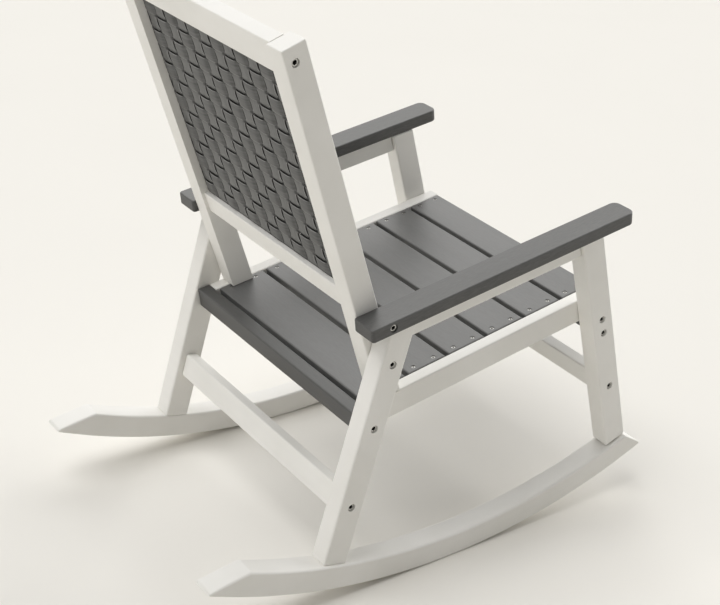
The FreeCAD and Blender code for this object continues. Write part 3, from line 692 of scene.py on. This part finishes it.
def lay_strap(name, cad_node, opening, beside, count, start_over, lift, middle, width, across, along,
              spread=0, pale=0):
    """A strap's section carried along its wave w: the lift times tanh(2 cos) over tanh(2), with half a turn
    of the cosine for each neighbour, and no deeper than the dive. On top of it is a bow of 1 - v^2 across the
    width, to the side it lies on, and the strap spreads by 1 - w^2 where it is pinched between its
    neighbours. Near the frame the wave settles to nothing, and a slow sine lets the strap drift a little
    from its line. A point attribute holds the painted shade (where neighbours or the frame cover the strap,
    and at the weave's corners), how near the edge and how pale each point is."""
    length = opening[1] - opening[0]
    ends = TUCK * np.sign(length) * np.array([-TUCK_SHARE, TUCK_SHARE])
    run = np.concatenate([[opening[0] + ends[0]], np.linspace(*opening, count * RINGS_PER_CROSSING + 1),
                          [opening[1] + ends[1]]])
    share = np.clip((run - opening[0]) / length, 0, 1)
    swing = np.cos(np.pi * (share * count - 0.5))
    wave = start_over * np.tanh(WAVE_STEEP * swing)[:, None] / np.tanh(WAVE_STEEP)
    section = strap_section(width)
    offset, bend, phase = hand_laid.normal(0, WEAVE_DRIFT, 2).tolist() + [hand_laid.uniform(0, DRIFT_PHASES)]
    drift = offset + bend * np.sin(phase + DRIFT_BENDS * share)[:, None]
    wider = 1 + 2 * spread / width * (1 - wave ** 2)
    clear = np.minimum(within(middle + section[:, 0], beside), within(run, opening)[:, None]) / WEAVE_SETTLE
    settled = np.clip(clear, 0, 1) ** 2 * (3 - 2 * np.clip(clear, 0, 1))
    edge = np.abs(2 * section[:, 0] / width)
    rings = np.empty((len(run), len(section), 3))
    rings[..., across] = middle + section[:, 0] * wider + drift
    rings[..., along] = run[:, None]
    rings[..., Y] = panel_depth + section[:, 1] + settled * wave * (
        np.where(wave > 0, lift, min(lift, DIVE)) + WEAVE_BOW * (1 - edge ** 2))
    piece = skin(name, turned(rings, RECLINE))
    pattern = joined(run[:, None], section[:, 0], PATTERN_STEP * middle)
    # Painted shade: the strap darkens at the weave's corners (uprights' widened parts too), under neighbours
    # and by the groove.
    corner = (np.clip((edge * wider - CORNER_EDGE) / CORNER_EDGE_SOFT, 0, 1)
              * np.clip((CORNER_WAVE - np.abs(wave)) / CORNER_WAVE_SOFT, 0, 1))
    covered = np.maximum(STRAP_SHADE - wave * np.sign(section[:, 1]), CORNER_SHADE * corner)
    frame_shade = GROOVE_SHADE * np.clip(1 - clear * WEAVE_SETTLE / GROOVE_SHADE_REACH, 0, 1)
    wear = joined(np.maximum(covered, frame_shade), edge, pale)
    for attribute, values in (("strap", pattern), ("wear", wear)):
        kept = piece.data.attributes.new(attribute, "FLOAT_VECTOR", "POINT")
        kept.data.foreach_set("vector", values.ravel())
    finish_piece(piece, drawn_strap, "woven_strap", cad_node)


for column in range(UPRIGHTS):
    middle = opening_wide[0] + (opening_wide[1] - opening_wide[0]) * (column + 0.5) / UPRIGHTS
    lay_strap("upright_strap_%d" % (column + 1), "woven_upright_straps", opening_tall, opening_wide, CROSSES,
              -(-1) ** column, UPRIGHT_LIFT, middle, UPRIGHT_WIDE, X, Z, UPRIGHT_SPREAD, UPRIGHT_PALE)
for row in range(CROSSES):
    middle = opening_tall[0] + (opening_tall[1] - opening_tall[0]) * (row + 0.5) / CROSSES
    lay_strap("cross_strap_%d" % (row + 1), "woven_cross_straps", opening_wide, opening_tall, UPRIGHTS,
              (-1) ** row, CROSS_LIFT, middle, CROSS_WIDE, Z, X)


# Bolts: plated steel button heads with a hexagon socket, sunk just under the face in a counterbore,
# three in each leg, one through each armrest and one near the top of each stile.
BOLT_HEAD = 0.0068
BOLT_SOCKET = 0.0035
BOLT_SOCKET_DEPTH = 0.0045
BOLT_SIDE = 0.0065
BOLT_SUNK = 0.0014
BOLT_FACETS = 36
# Bright plated steel: a clean mirror-grey rim with a socket painted dark, painted shade where hardly any light
# comes back out.
plated_steel = steel("bright_plated_steel", "#BDBCB8", "#A3A29E", 0.26)
wide, deep, level = socket_head(BOLT_HEAD, BOLT_SOCKET, BOLT_SOCKET_DEPTH, BOLT_SIDE, BOLT_FACETS)
for side in SIDES:
    heads = []
    for low, high in bolt_places(side):
        face, outward = outer_face(side, low, high)
        heads.append(joined(face - outward * BOLT_SUNK + outward * level, (low[Y] + high[Y]) / 2 + wide,
                            (low[Z] + high[Z]) / 2 + deep))
    lay_heads("socket_bolts_" + side, heads, plated_steel, "bolts_" + side)


# Floor and light: a seamless cream studio floor, a soft overhead key a little behind the chair, one before
# its left front that gives the tops their sheen, two wide low fills before and behind it, and an even pale
# sky.
FLOOR_SIDE = 16.0
FLOOR_LINES = 9
FIBRE_SIZE = 0.5
lines_at = np.linspace(-0.5, 0.5, FLOOR_LINES) * FLOOR_SIDE
along, beside = np.meshgrid(lines_at, lines_at)
grid = np.arange(FLOOR_LINES ** 2).reshape(FLOOR_LINES, FLOOR_LINES)
tiles = np.stack([grid[:-1, :-1], grid[:-1, 1:], grid[1:, 1:], grid[1:, :-1]], -1).reshape(-1, 4)
floor_mesh = bpy.data.meshes.new("studio_floor")
floor_mesh.from_pydata(joined(along, beside, 0.0).reshape(-1, 3).tolist(), [], tiles.tolist())
floor = bpy.data.objects.new("studio_floor", floor_mesh)
bpy.context.scene.collection.objects.link(floor)
# Matt cream paper: a pale warm ground with hardly any tone of its own.
cream_paper, tree, surface = blank_material("matt_cream_paper")
place = node(tree, "TexCoord").outputs["Object"]
fibre = node(tree, "TexNoise", Vector=place, Scale=1 / FIBRE_SIZE, Detail=2.0)
tone = node(tree, "ValToRGB", Fac=fibre.outputs["Fac"])
tone.color_ramp.elements[0].color, tone.color_ramp.elements[1].color = srgb("#EDEAE3"), srgb("#EFECE5")
tree.links.new(tone.outputs["Color"], surface.inputs["Base Color"])
surface.inputs["Roughness"].default_value = 0.9
surface.inputs["Specular IOR Level"].default_value = 0.0
floor_mesh.materials.append(cream_paper)

# Pale studio sky: weak as light, and cream where the camera or a mirror-like surface sees it.
SKY_STRENGTH = 0.15
world = bpy.data.worlds.new("pale_studio")
bpy.context.scene.world = world
world.use_nodes = True
tree = world.node_tree
tree.nodes.clear()
path = node(tree, "LightPath").outputs
seen = node(tree, "Math", {"operation": "MAXIMUM"}, _0=path["Is Camera Ray"], _1=path["Is Glossy Ray"])
seen = node(tree, "Math", {"operation": "MAXIMUM"}, _0=seen.outputs["Value"], _1=path["Is Transmission Ray"])
sky = node(tree, "Background", Color=srgb("#FFFFFF"), Strength=SKY_STRENGTH)
backdrop = node(tree, "Background", Color=srgb("#F5F2EA"), Strength=1.0)
both = node(tree, "MixShader", _0=seen.outputs["Value"], _1=sky.outputs["Background"],
            _2=backdrop.outputs["Background"])
node(tree, "OutputWorld", Surface=both.outputs["Shader"])


def facing(back, roll=0.0):
    """Columns of a turn whose Z axis is the given direction, with X level and then rolled."""
    back = np.array(back) / np.linalg.norm(back)
    right = np.array([-back[Y], back[X], 0]) / np.hypot(back[X], back[Y])
    up = np.cross(back, right)
    rolled_right = math.cos(roll) * right + math.sin(roll) * up
    rolled_up = math.cos(roll) * up - math.sin(roll) * right
    return joined(rolled_right, rolled_up, back)


def stand(thing, turn, place):
    """Puts a lamp or the camera at a place with a turn."""
    thing.matrix_world = Matrix([[*row, spot] for row, spot in zip(turn, place)] + [[0, 0, 0, 1]])


LAMP_AT = (0, 0, 4)
for name, comes_from, energy, degrees in (("overhead_key", (0.10, 0.45, 1.0), 1.4, 40),
                                          ("front_left_sheen", (0.70, -0.30, 0.65), 0.8, 40),
                                          ("front_fill", (0.10, -1.0, 0.50), 1.9, 60),
                                          ("rear_fill", (0.30, 0.90, 0.10), 0.95, 100)):
    glow = bpy.data.lights.new(name, "SUN")
    glow.energy = energy
    glow.angle = math.radians(degrees)
    lamp = bpy.data.objects.new(name, glow)
    bpy.context.scene.collection.objects.link(lamp)
    stand(lamp, facing(comes_from), LAMP_AT)


# Camera: stands behind the chair's right side and looks down on it, as in the photograph. Its roll makes up
# for the chair's empty balance, which is a few degrees further back than the photograph shows it.
LENS = 71.776
SENSOR_WIDE = 36.0
AZIMUTH = math.radians(231.797)
ELEVATION = math.radians(27.05)
ROLL = math.radians(5.279)
CAMERA_AT = (-1.875412, 1.482629, 1.614271)
view_back = (math.sin(AZIMUTH) * math.cos(ELEVATION), -math.cos(AZIMUTH) * math.cos(ELEVATION),
             math.sin(ELEVATION))
lens = bpy.data.cameras.new("camera")
lens.sensor_width = SENSOR_WIDE
lens.sensor_fit = "HORIZONTAL"
lens.lens = LENS
camera = bpy.data.objects.new("camera", lens)
bpy.context.scene.collection.objects.link(camera)
stand(camera, facing(view_back, ROLL), CAMERA_AT)
bpy.context.scene.camera = camera
bpy.context.scene.view_settings.view_transform = "Standard"
